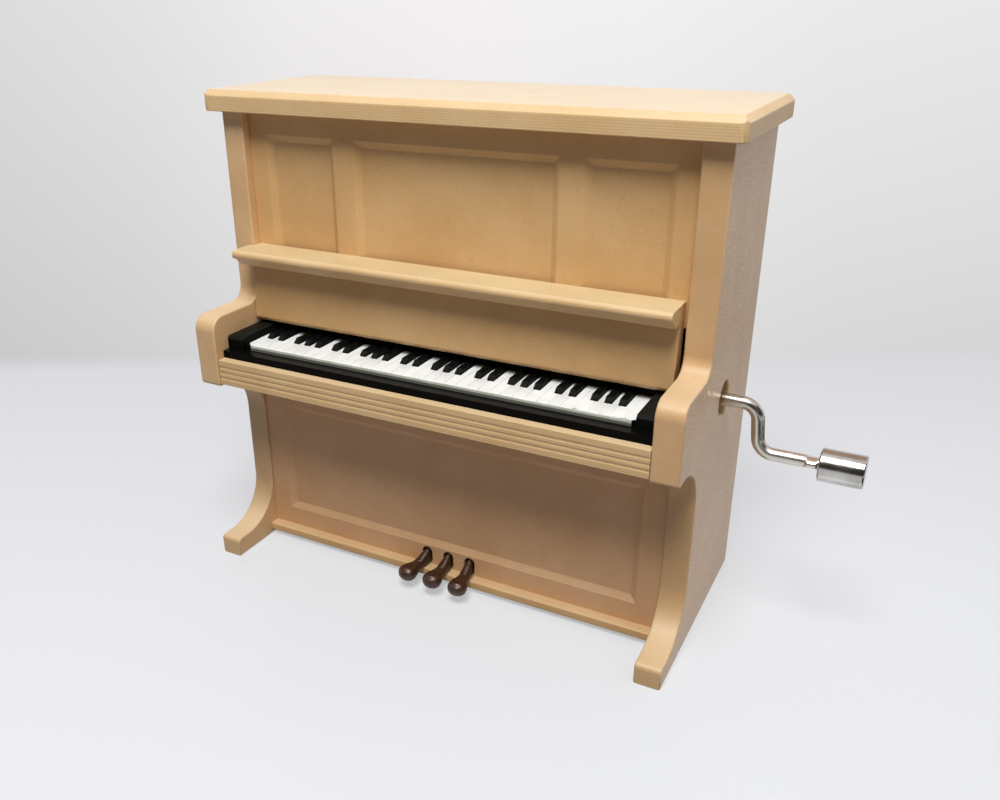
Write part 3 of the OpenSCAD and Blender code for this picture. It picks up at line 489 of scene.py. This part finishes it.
for place, node in ((-1, "left_pedal"), (0, "middle_pedal"), (1, "right_pedal")):
    bm = bmesh.new()
    rings = []
    for reach, half_w, middle, half_h in sections:
        ring = []
        for k in range(PEDAL_SIDES):
            a = 2*math.pi*k/PEDAL_SIDES
            x = half_w*math.copysign(abs(math.cos(a))**SQUARE, math.cos(a))
            z = middle + half_h*math.copysign(abs(math.sin(a))**SQUARE, math.sin(a))
            # The crest shows its layers as small steps
            below = math.floor(z/LAYER)
            rise = max(0.0, min(1.0, (z/LAYER - below - 0.5)/SLOPE + 0.5))
            z += max(0.0, math.sin(a))**2*((below + rise)*LAYER - z)
            ring.append(bm.verts.new((x*MM, -reach*MM, z*MM)))
        rings.append(ring)
    loft(bm, rings)
    forward = [v for v in bm.verts if v.co.y < -0.1*MM]
    bmesh.ops.rotate(bm, verts=forward, cent=(0, 0, 0),
                     matrix=Matrix.Rotation(math.radians(PEDAL_FAN*place - PEDAL_LEAN), 3, "Z"))
    bmesh.ops.translate(bm, verts=bm.verts,
                        vec=((panel_low.x + panel_high.x)/2 + place*PEDAL_PITCH, panel_low.y, 0))
    piece("printed_" + node, bm, "case", [bronze], node, smooth=60)


# Movement
# A stock comb movement: a die-cast bedplate, a hardened steel comb, a pinned brass cylinder on a steel
# arbor, and a brass worm and wheel. It sits inside the closed case, on the back panel.


def worked_metal(name, pale, deep, rough, direction, pitch, relief):
    """Bare metal with the marks of its making: grinding, turning or casting lines at a real pitch, over
    a slow change of tone. The eye gets a metal gloss, streaked along one direction."""
    made, tree, out = finish_of(name)
    place = add(tree, "TexCoord", {})
    stretch = add(tree, "Mapping", {"Scale": direction}, {"Vector": place.outputs["Object"]})
    marks = add(tree, "TexNoise", {"Scale": 1/pitch, "Detail": 3, "Roughness": 0.65},
                {"Vector": stretch.outputs["Vector"]})
    cloud = add(tree, "TexNoise", {"Scale": 1/(6*MM), "Detail": 2}, {"Vector": place.outputs["Object"]})
    mixed = add(tree, "Math", {"operation": "MULTIPLY_ADD", "Value_001": 0.5},
                {"Value": marks.outputs["Fac"], "Value_002": cloud.outputs["Fac"]})
    colour = add(tree, "ValToRGB", {"stops": [(0.5, tone(deep)), (0.95, tone(pale))]},
                 {"Fac": mixed.outputs["Value"]})
    roughness = add(tree, "MapRange", {"To Min": rough*0.8, "To Max": rough*1.25},
                    {"Value": marks.outputs["Fac"]})
    bump = add(tree, "Bump", {"Strength": 0.4, "Distance": relief}, {"Height": marks.outputs["Fac"]})
    shader = add(tree, "BsdfPrincipled", {"Metallic": 1.0},
                 {"Base Color": colour.outputs["Color"], "Roughness": roughness.outputs["Result"],
                  "Normal": bump.outputs["Normal"]})
    tree.links.new(shader.outputs["BSDF"], out.inputs["Surface"])
    return made


cast_zinc = worked_metal("zinc_die_cast", "#b9bbbc", "#94969a", 0.45, (1, 1, 1), 0.5*MM, 0.04*MM)
ground_steel = worked_metal("steel_ground", "#cfd2d4", "#a3a7aa", 0.28, (0.08, 1, 1), 0.2*MM, 0.01*MM)
turned_steel = worked_metal("steel_turned_screw", "#c4c7c9", "#8f9396", 0.3, (1, 0.1, 1), 0.25*MM, 0.01*MM)
turned_brass = worked_metal("brass_turned", "#d9b866", "#b08a3e", 0.26, (0.1, 0.1, 1), 0.25*MM, 0.012*MM)
for node, metal in (
        ("bedplate", cast_zinc), ("comb", ground_steel), ("comb_screws", turned_steel),
        ("movement_screws", turned_steel), ("bearing_screws", turned_steel),
        ("inner_crank_bearing", ground_steel), ("outer_crank_bearing", ground_steel),
        ("cylinder_arbor", turned_steel), ("pinned_cylinder", turned_brass),
        ("worm_wheel", turned_brass), ("worm", turned_brass)):
    mesh = frame["nodes"][node].data
    mesh.materials.clear()
    mesh.materials.append(metal)


# Crank
# A steel wire, bent twice into an S and nickel plated. It turns in two brackets inside the case, and
# two ears are squeezed out of it just before the knob, so that the knob can't slide back.

CRANK_AXIS = Vector(next(j["pos_m"] for j in frame["joints"] if j["name"] == "crank_spin"))
KNOB_AXIS = Vector(next(j["pos_m"] for j in frame["joints"] if j["name"] == "knob_spin"))
WIRE_R, WIRE_SIDES, WIRE_CHAMFER = 1.2*MM, 32, 0.3*MM
BEND, BEND_R, BEND_STEPS = math.radians(84), 3*MM, 12
# The straight wire on both sides of the joint's place
WIRE_IN, WIRE_OUT = 2*MM, 3.4*MM
# From the knob's joint back to the ears, how much wider and thinner they are than the wire, and where they
# begin and are full, in mm from their middle
EAR_BACK, EAR_WIDER, EAR_THINNER, EAR_START, EAR_FULL = 1.3*MM, 0.36, 0.22, 1.1, 0.8
crank_low, crank_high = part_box("crank")


def plated_nickel(name, pale, deep, rough):
    """Bright nickel plate. The eye gets warm, mirror-like reflections, softened by handling and faint
    lines from polishing, 0.15 mm apart and drawn at 0.3 mm."""
    made, tree, out = finish_of(name)
    place = add(tree, "TexCoord", {})
    stretch = add(tree, "Mapping", {"Scale": (1, 0.15, 0.15)}, {"Vector": place.outputs["Object"]})
    lines = add(tree, "TexNoise", {"Scale": 1/(0.3*MM), "Detail": 3}, {"Vector": stretch.outputs["Vector"]})
    cloud = add(tree, "TexNoise", {"Scale": 1/(4*MM), "Detail": 3}, {"Vector": place.outputs["Object"]})
    colour = add(tree, "ValToRGB", {"stops": [(0.3, tone(deep)), (0.65, tone(pale))]},
                 {"Fac": cloud.outputs["Fac"]})
    roughness = add(tree, "MapRange", {"From Min": 0.3, "From Max": 0.7, "To Min": rough*0.7,
                                       "To Max": rough*1.5}, {"Value": cloud.outputs["Fac"]})
    bump = add(tree, "Bump", {"Strength": 0.12, "Distance": 0.01*MM}, {"Height": lines.outputs["Fac"]})
    shader = add(tree, "BsdfPrincipled", {"Metallic": 1.0},
                 {"Base Color": colour.outputs["Color"], "Roughness": roughness.outputs["Result"],
                  "Normal": bump.outputs["Normal"]})
    tree.links.new(shader.outputs["BSDF"], out.inputs["Surface"])
    return made


fall = CRANK_AXIS.z - KNOB_AXIS.z
slant = (fall - 2*BEND_R*(1 - math.cos(BEND)))/math.sin(BEND)
neck_x = CRANK_AXIS.x + WIRE_OUT
tail_x = neck_x + 2*BEND_R*math.sin(BEND) + slant*math.cos(BEND)
ear_x = KNOB_AXIS.x - EAR_BACK
# Along the wire: how far out, how high over the crank's axis, and how steep
path = [(crank_low.x, 0.0, 0.0), (crank_low.x + WIRE_CHAMFER, 0.0, 0.0), (CRANK_AXIS.x - WIRE_IN, 0.0, 0.0)]
for k in range(BEND_STEPS + 1):
    a = BEND*k/BEND_STEPS
    path.append((neck_x + BEND_R*math.sin(a), -BEND_R*(1 - math.cos(a)), a))
for k in range(BEND_STEPS + 1):
    a = BEND*(1 - k/BEND_STEPS)
    path.append((tail_x - BEND_R*math.sin(a), -fall + BEND_R*(1 - math.cos(a)), a))
for x in (-1.6, -EAR_START, -EAR_FULL, -0.55, -0.3, 0, 0.3, 0.55, EAR_FULL, EAR_START, 1.6):
    path.append((ear_x + x*MM, -fall, 0.0))
path += [(crank_high.x - WIRE_CHAMFER, -fall, 0.0), (crank_high.x, -fall, 0.0)]
bm = bmesh.new()
rings = []
for step, (x, z, a) in enumerate(path):
    off = abs(x - ear_x)/MM
    squeeze = max(0.0, min(1.0, (EAR_START - off)/(EAR_START - EAR_FULL))) if z == -fall else 0.0
    wide = WIRE_R*(1 + EAR_WIDER*squeeze)
    thick = WIRE_R*(1 - EAR_THINNER*squeeze)
    if step in (0, len(path) - 1):
        wide = thick = WIRE_R - WIRE_CHAMFER
    ring = []
    for k in range(WIRE_SIDES):
        t = 2*math.pi*k/WIRE_SIDES
        aside, up = wide*math.cos(t), thick*math.sin(t)
        ring.append(bm.verts.new((x + up*math.sin(a), CRANK_AXIS.y + aside,
                                  CRANK_AXIS.z + z + up*math.cos(a))))
    rings.append(ring)
loft(bm, rings)
wire_nickel = plated_nickel("nickel_plated_wire", "#dcd8cf", "#c2bcb2", 0.25)
piece("bent_crank_wire", bm, "crank", [wire_nickel], "crank", smooth=40)


# Knob
# A turned sleeve, nickel plated and polished, loose on the end of the wire so that it spins under the
# fingers. Its edges are rolled over a little.

knob_low, knob_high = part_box("crank_knob")
length = knob_high.x - knob_low.x
KNOB_R = (knob_high.z - knob_low.z)/2
KNOB_ROLL, ROLL_STEPS, KNOB_SIDES = 0.3*MM, 6, 64
BORE_R, END_WALL, END_HOLLOW = 1.26*MM, 0.6*MM, 0.02*MM
# From the bottom of the bore, round the outside, to the middle of the far end: how far out, and how wide
profile = [(length - END_WALL, BORE_R), (0.0, BORE_R), (0.0, KNOB_R - KNOB_ROLL)]
for k in range(1, ROLL_STEPS + 1):
    a = math.pi/2*k/ROLL_STEPS
    profile.append((KNOB_ROLL*(1 - math.cos(a)), KNOB_R - KNOB_ROLL*(1 - math.sin(a))))
for k in range(ROLL_STEPS + 1):
    a = math.pi/2*k/ROLL_STEPS
    profile.append((length - KNOB_ROLL*(1 - math.sin(a)), KNOB_R - KNOB_ROLL*(1 - math.cos(a))))
profile.append((length - END_HOLLOW, KNOB_R*0.4))
bm = bmesh.new()
turns = [2*math.pi*k/KNOB_SIDES for k in range(KNOB_SIDES)]
loft(bm, [[bm.verts.new((knob_low.x + x, KNOB_AXIS.y + r*math.cos(t), KNOB_AXIS.z + r*math.sin(t)))
           for t in turns] for x, r in profile])
knob_nickel = plated_nickel("nickel_plated_knob", "#c9c7c3", "#b1aea9", 0.15)
piece("turned_knob", bm, "knob", [knob_nickel], "crank_knob", smooth=35)


# Studio
# A pale glossy table that turns into a pale wall, lit from above by a large soft lamp and all round by
# a white tent. The camera stands where the photographer's did.

TURN = math.radians(28.249)
DOWN = math.radians(24.19)
ROLL = math.radians(-0.558)
EYE = Vector((0.070616, -0.15664, 0.11391))
LENS, SHIFT_X, SHIFT_Y = 33.906, 0.03673, 0.01143
ahead = Vector((-math.sin(TURN)*math.cos(DOWN), math.cos(TURN)*math.cos(DOWN), -math.sin(DOWN)))
across = Vector((math.cos(TURN), math.sin(TURN), 0))
upward = across.cross(ahead)
level = math.cos(ROLL)*across + math.sin(ROLL)*upward
upright = -math.sin(ROLL)*across + math.cos(ROLL)*upward
stand = Matrix((level, upright, -ahead)).transposed().to_4x4()
stand.translation = EYE
camera = bpy.data.objects.new("camera", bpy.data.cameras.new("camera"))
bpy.context.scene.collection.objects.link(camera)
camera.matrix_world = stand
camera.data.lens = LENS
camera.data.shift_x, camera.data.shift_y = SHIFT_X, SHIFT_Y
camera.data.clip_start = 0.01
bpy.context.scene.camera = camera

# From the point under the camera, in metres: where the table's line with the wall is
TABLE_LINE = 0.3
TABLE_R, TABLE_SIDES, TABLE_DROP = 60.0, 96, 0.05*MM


def table_top():
    """White acrylic. Near the object it is a pale bluish white with a soft mirror gloss and the object's
    shadow. Beyond the line where the photograph's table meets its wall it shows the wall's greys, brighter
    in the middle and towards the top. They keep their place on the table, laid out from the point under
    EYE."""
    made, tree, out = finish_of("white_acrylic_table")
    place = add(tree, "TexCoord", {})
    centred = add(tree, "VectorMath", {"operation": "SUBTRACT", "Vector_001": (EYE.x, EYE.y, 0)},
                  {"Vector": place.outputs["Object"]})
    turned = add(tree, "VectorRotate", {"rotation_type": "Z_AXIS", "Angle": -TURN},
                 {"Vector": centred.outputs["Vector"]})
    axes = add(tree, "SeparateXYZ", {}, {"Vector": turned.outputs["Vector"]})
    # Light bounces off a darker copy of the table than the one that the camera and mirrors see: lit and
    # shaded copies of one sheet
    table_tone = add(tree, "ValToRGB", {"stops": [(0.2, tone("#868789")), (TABLE_LINE, tone("#848588"))]},
                     {"Fac": axes.outputs["Y"]})
    # The camera and mirrors see it partly glow: painted light, brightest nearest the camera and dimming
    # towards the wall
    seen_tone = add(tree, "ValToRGB", {"stops": [
        (0.11, tone("#fcfdff")), (0.16, tone("#fbfdff")), (0.22, tone("#f5f7fb")),
        (TABLE_LINE, tone("#ebebf1"))]}, {"Fac": axes.outputs["Y"]})
    reach = add(tree, "Math", {"operation": "MULTIPLY_ADD", "Value_001": math.cos(DOWN),
                               "Value_002": EYE.z*math.sin(DOWN)}, {"Value": axes.outputs["Y"]})
    lateral = add(tree, "Math", {"operation": "DIVIDE"}, {"Value": axes.outputs["X"],
                                                           "Value_001": reach.outputs["Value"]})
    spread = add(tree, "MapRange", {"From Min": -0.5, "From Max": 0.56},
                 {"Value": lateral.outputs["Value"]})
    # The wall's tones are painted light: brighter in the middle and further back
    wall_tone = add(tree, "ValToRGB", {"stops": [
        (0.0, tone("#dcdcdc")), (0.15, tone("#e3e3e3")), (0.29, tone("#eeecec")), (0.47, tone("#f4f1f2")),
        (0.65, tone("#f2f1f1")), (0.85, tone("#ebebeb")), (1.0, tone("#e9e9e9"))]},
        {"Fac": spread.outputs["Result"]})
    nearness = add(tree, "Math", {"operation": "DIVIDE", "Value": TABLE_LINE},
                   {"Value_001": axes.outputs["Y"]})
    fade = add(tree, "MapRange", {"To Min": 1.0, "To Max": 0.82}, {"Value": nearness.outputs["Value"]})
    lit = add(tree, "BsdfPrincipled", {"IOR": 1.4, "Roughness": 0.16},
              {"Base Color": table_tone.outputs["Color"]})
    pale = add(tree, "BsdfPrincipled", {"IOR": 1.4, "Roughness": 0.16, "Base Color": tone("#d0d2d6")})
    glow = add(tree, "Emission", {"Strength": 1.0}, {"Color": seen_tone.outputs["Color"]})
    near = add(tree, "MixShader", {"Fac": 0.45},
               {"Shader": pale.outputs["BSDF"], "Shader_001": glow.outputs["Emission"]})
    wall = add(tree, "Emission", {},
               {"Color": wall_tone.outputs["Color"], "Strength": fade.outputs["Result"]})
    line = add(tree, "MapRange", {"From Min": TABLE_LINE - 0.01, "From Max": TABLE_LINE + 0.003},
               {"Value": axes.outputs["Y"]})
    rays = add(tree, "LightPath", {})
    seen = add(tree, "Math", {"operation": "ADD"}, {"Value": rays.outputs["Is Camera Ray"],
                                                     "Value_001": rays.outputs["Is Glossy Ray"]})
    seen = add(tree, "Math", {"operation": "ADD", "use_clamp": True},
               {"Value": seen.outputs["Value"], "Value_001": rays.outputs["Is Transmission Ray"]})
    shown = add(tree, "Math", {"operation": "MULTIPLY"},
                {"Value": seen.outputs["Value"], "Value_001": line.outputs["Result"]})
    plain = add(tree, "MixShader", {}, {"Fac": seen.outputs["Value"], "Shader": lit.outputs["BSDF"],
                                        "Shader_001": near.outputs["Shader"]})
    whole = add(tree, "MixShader", {}, {"Fac": shown.outputs["Value"], "Shader": plain.outputs["Shader"],
                                        "Shader_001": wall.outputs["Emission"]})
    tree.links.new(whole.outputs["Shader"], out.inputs["Surface"])
    return made


def stage_sheet(name, bm, material):
    """A flat sheet of the studio, which isn't part of the object."""
    mesh = bpy.data.meshes.new(name)
    bm.to_mesh(mesh)
    bm.free()
    mesh.materials.append(material)
    made = bpy.data.objects.new(name, mesh)
    bpy.context.scene.collection.objects.link(made)
    return made


bm = bmesh.new()
bmesh.ops.create_circle(bm, cap_ends=True, segments=TABLE_SIDES, radius=TABLE_R)
stage_sheet("table_top", bm, table_top()).location.z = -TABLE_DROP

# A dark card on the table, which shows in reflections only
CARD_RISE = 0.2*MM
CARD = [(0.095, 0.2), (0.095, -0.024), (0.066, -0.044), (0.066, -0.25), (0.18, -0.25), (0.18, 0.2)]
bm = bmesh.new()
bm.faces.new([bm.verts.new((x, y, CARD_RISE)) for x, y in CARD])
card_black, tree, out = finish_of("black_card_matte")
felt = add(tree, "BsdfPrincipled", {"Base Color": tone("#171513"), "Roughness": 0.8})
clear = add(tree, "BsdfTransparent", {})
# Seen from below it isn't there, so the table doesn't mirror it
facing = add(tree, "NewGeometry", {})
card_face = add(tree, "MixShader", {}, {"Fac": facing.outputs["Backfacing"], "Shader": felt.outputs["BSDF"],
                                        "Shader_001": clear.outputs["BSDF"]})
tree.links.new(card_face.outputs["Shader"], out.inputs["Surface"])
card = stage_sheet("black_card", bm, card_black)
card.visible_camera = card.visible_diffuse = card.visible_shadow = card.visible_transmission = False

world = bpy.data.worlds.new("white_tent")
bpy.context.scene.world = world
world.use_nodes = True
tree = world.node_tree
tree.nodes.clear()
way = add(tree, "TexCoord", {})
turned = add(tree, "VectorRotate", {"rotation_type": "Z_AXIS", "Angle": -TURN},
             {"Vector": way.outputs["Generated"]})
axes = add(tree, "SeparateXYZ", {}, {"Vector": turned.outputs["Vector"]})
# The wall side and the right of the tent are bright, and the room in front is dim
behind = add(tree, "MapRange", {"From Min": 0.05, "From Max": 0.75}, {"Value": axes.outputs["Y"]})
dome = add(tree, "ValToRGB", {"stops": [(0.0, tone("#3c3c3e")), (1.0, tone("#f4f2f2"))]},
           {"Fac": behind.outputs["Result"]})
right = add(tree, "MapRange", {"From Min": 0.08, "From Max": 0.65}, {"Value": axes.outputs["X"]})
sides = add(tree, "Mix", {"data_type": "RGBA", "B_Color": tone("#eaecf2")},
            {"Factor_Float": right.outputs["Result"], "A_Color": dome.outputs["Color"]})
light = add(tree, "Background", {"Strength": 0.8}, {"Color": sides.outputs[2]})
# The backdrop is pale. Metal mirrors it too, with a dim room in front up to 45 degrees, a bright ceiling
# over it and a warm one further back, which give it its bands
ahead_of = add(tree, "MapRange", {"From Min": 0.1, "From Max": -0.2}, {"Value": axes.outputs["Y"]})
below = add(tree, "MapRange", {"From Min": 0.74, "From Max": 0.64}, {"Value": axes.outputs["Z"]})
room = add(tree, "Math", {"operation": "MULTIPLY"},
           {"Value": ahead_of.outputs["Result"], "Value_001": below.outputs["Result"]})
high = add(tree, "MapRange", {"From Min": 0.3, "From Max": 0.45}, {"Value": axes.outputs["Z"]})
back = add(tree, "MapRange", {"From Min": 0.28, "From Max": 0.34}, {"Value": axes.outputs["Y"]})
warm = add(tree, "Math", {"operation": "MULTIPLY"},
           {"Value": high.outputs["Result"], "Value_001": back.outputs["Result"]})
ceiling = add(tree, "Mix", {"data_type": "RGBA", "A_Color": tone("#f2f0f1"), "B_Color": tone("#c9ab9a")},
              {"Factor_Float": warm.outputs["Value"]})
wall_tone = add(tree, "Mix", {"data_type": "RGBA", "B_Color": tone("#3f3b38")},
                {"Factor_Float": room.outputs["Value"], "A_Color": ceiling.outputs[2]})
mirrored = add(tree, "Background", {"Strength": 1.0}, {"Color": wall_tone.outputs[2]})
backdrop = add(tree, "Background", {"Strength": 1.0, "Color": tone("#f2f0f1")})
rays = add(tree, "LightPath", {})
seen = add(tree, "Math", {"operation": "ADD", "use_clamp": True},
           {"Value": rays.outputs["Is Camera Ray"], "Value_001": rays.outputs["Is Transmission Ray"]})
lit_or_seen = add(tree, "MixShader", {},
                  {"Fac": seen.outputs["Value"], "Shader": light.outputs["Background"],
                   "Shader_001": backdrop.outputs["Background"]})
sky = add(tree, "MixShader", {},
          {"Fac": rays.outputs["Is Glossy Ray"], "Shader": lit_or_seen.outputs["Shader"],
           "Shader_001": mirrored.outputs["Background"]})
add(tree, "OutputWorld", {}, {"Surface": sky.outputs["Shader"]})

# One soft square lamp, pointed at the case
LAMP_PLACE, LAMP_TARGET = Vector((0.05, -0.2, 0.45)), Vector((-0.01, 0.0, 0.05))
LAMP_SIZE, LAMP_WATTS = 0.19, 2.27
lamp = bpy.data.objects.new("top_lamp", bpy.data.lights.new("top_lamp", "AREA"))
bpy.context.scene.collection.objects.link(lamp)
lamp.location = LAMP_PLACE
lamp.rotation_euler = (LAMP_TARGET - LAMP_PLACE).to_track_quat("-Z", "Y").to_euler()
lamp.data.size, lamp.data.energy = LAMP_SIZE, LAMP_WATTS
lamp.visible_camera = False

bpy.context.scene.view_settings.view_transform = "Standard"
